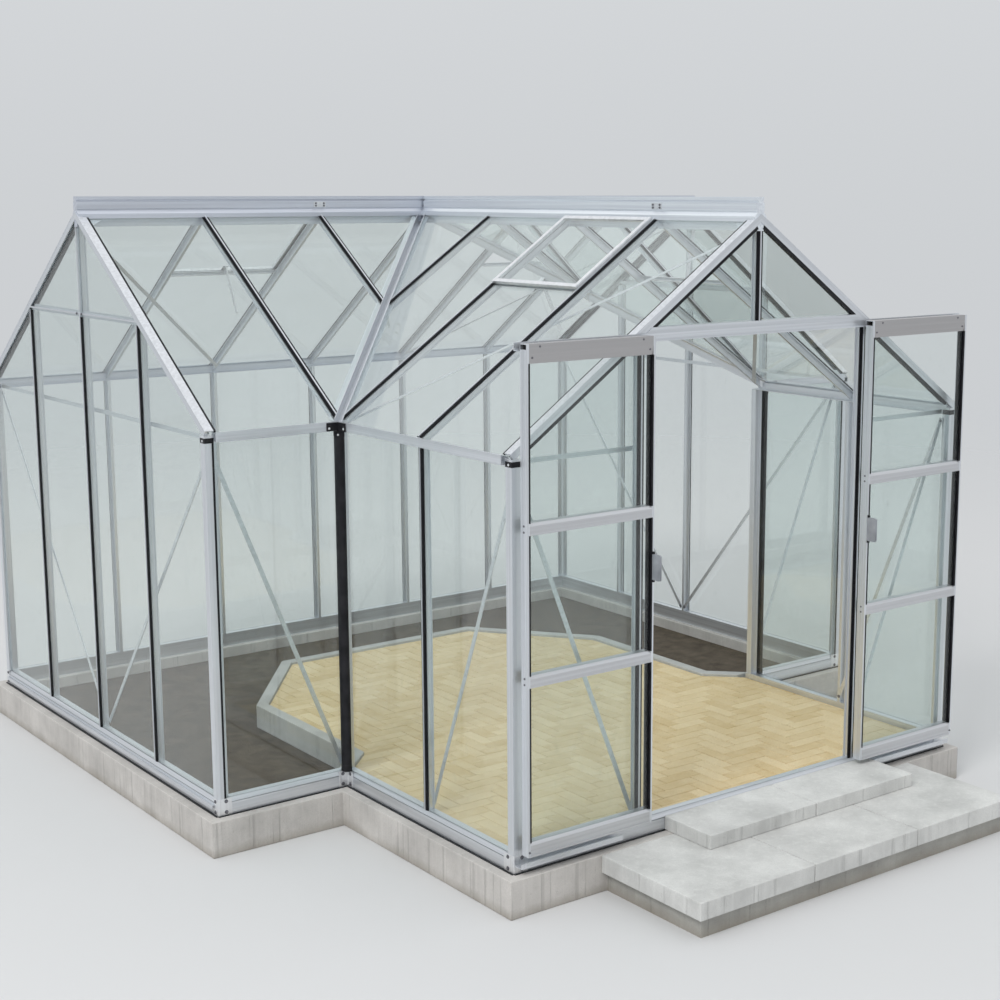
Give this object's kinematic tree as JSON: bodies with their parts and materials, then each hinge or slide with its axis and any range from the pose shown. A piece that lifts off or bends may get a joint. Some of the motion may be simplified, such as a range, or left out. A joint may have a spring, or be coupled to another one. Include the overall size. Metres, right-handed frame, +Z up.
{
  "type": "greenhouse",
  "caption": "T-shaped glass greenhouse with crossing ridges, an aluminium frame on a concrete plinth, roof vents and a pair of sliding doors",
  "frame": {"origin": "on the ground, under the crossing of the two ridges, on the underside of the floor", "axes": "+Z up; +Y from the door gable toward the back wall; +X to the right as seen when walking in"},
  "size_m": [3.965, 4.565, 2.7979],
  "materials": {
    "frame_aluminium": "mill-finish extrusions, lightly weathered",
    "clear_glass": "clear horticultural glass",
    "black_rubber": "matt black capping strip",
    "black_plastic": "matt black moulded plastic",
    "grey_plastic": "light grey moulded plastic",
    "concrete": "cast concrete",
    "clay_paving": "yellow clay pavers"
  },
  "bodies": {
    "house": {"base_rail": "frame_aluminium", "back_gutter": "frame_aluminium", "side_gutters": "frame_aluminium", "cross_ridge": "frame_aluminium", "stem_ridge": "frame_aluminium", "valley_rafters": "frame_aluminium", "corner_posts": "frame_aluminium", "inner_posts": "frame_aluminium", "gable_bars": "frame_aluminium", "gable_crossbars": "frame_aluminium", "wall_bars": "frame_aluminium", "cross_rafters": "frame_aluminium", "stem_rafters": "frame_aluminium", "side_verges": "frame_aluminium", "front_verges": "frame_aluminium", "door_header": "frame_aluminium", "door_track": "frame_aluminium", "guide_rails": "frame_aluminium", "tie_bars": "frame_aluminium", "wall_braces": "frame_aluminium", "roof_braces": "frame_aluminium", "vent_frames": "frame_aluminium", "vent_sills": "frame_aluminium", "vent_stays": "frame_aluminium", "side_gable_glass": "clear_glass", "front_gable_glass": "clear_glass", "back_glass": "clear_glass", "wing_glass": "clear_glass", "stem_side_glass": "clear_glass", "back_roof_glass": "clear_glass", "front_roof_glass": "clear_glass", "stem_roof_glass": "clear_glass", "vent_glass": "clear_glass", "wall_seals": "black_rubber", "cross_roof_seals": "black_rubber", "stem_roof_seals": "black_rubber", "corner_covers": "black_plastic", "post_caps": "black_plastic", "plinth": "concrete", "bed_kerbs": "concrete", "lower_step": "concrete", "upper_step": "concrete", "step_footing": "concrete", "paved_floor": "clay_paving"},
    "left_door": {"left_door_frame": "frame_aluminium", "left_door_glass": "clear_glass", "left_door_seals": "black_rubber", "left_door_handle": "grey_plastic", "left_door_hangers": "frame_aluminium"},
    "right_door": {"right_door_frame": "frame_aluminium", "right_door_glass": "clear_glass", "right_door_seals": "black_rubber", "right_door_handle": "grey_plastic", "right_door_hangers": "frame_aluminium"}
  },
  "joints": [
    {"name": "left_door_slide", "type": "slide", "parent": "house", "child": "left_door", "axis": [1, 0, 0], "range_m": [0, 0.625]},
    {"name": "right_door_slide", "type": "slide", "parent": "house", "child": "right_door", "axis": [-1, 0, 0], "range_m": [0, 0.625]}
  ]
}
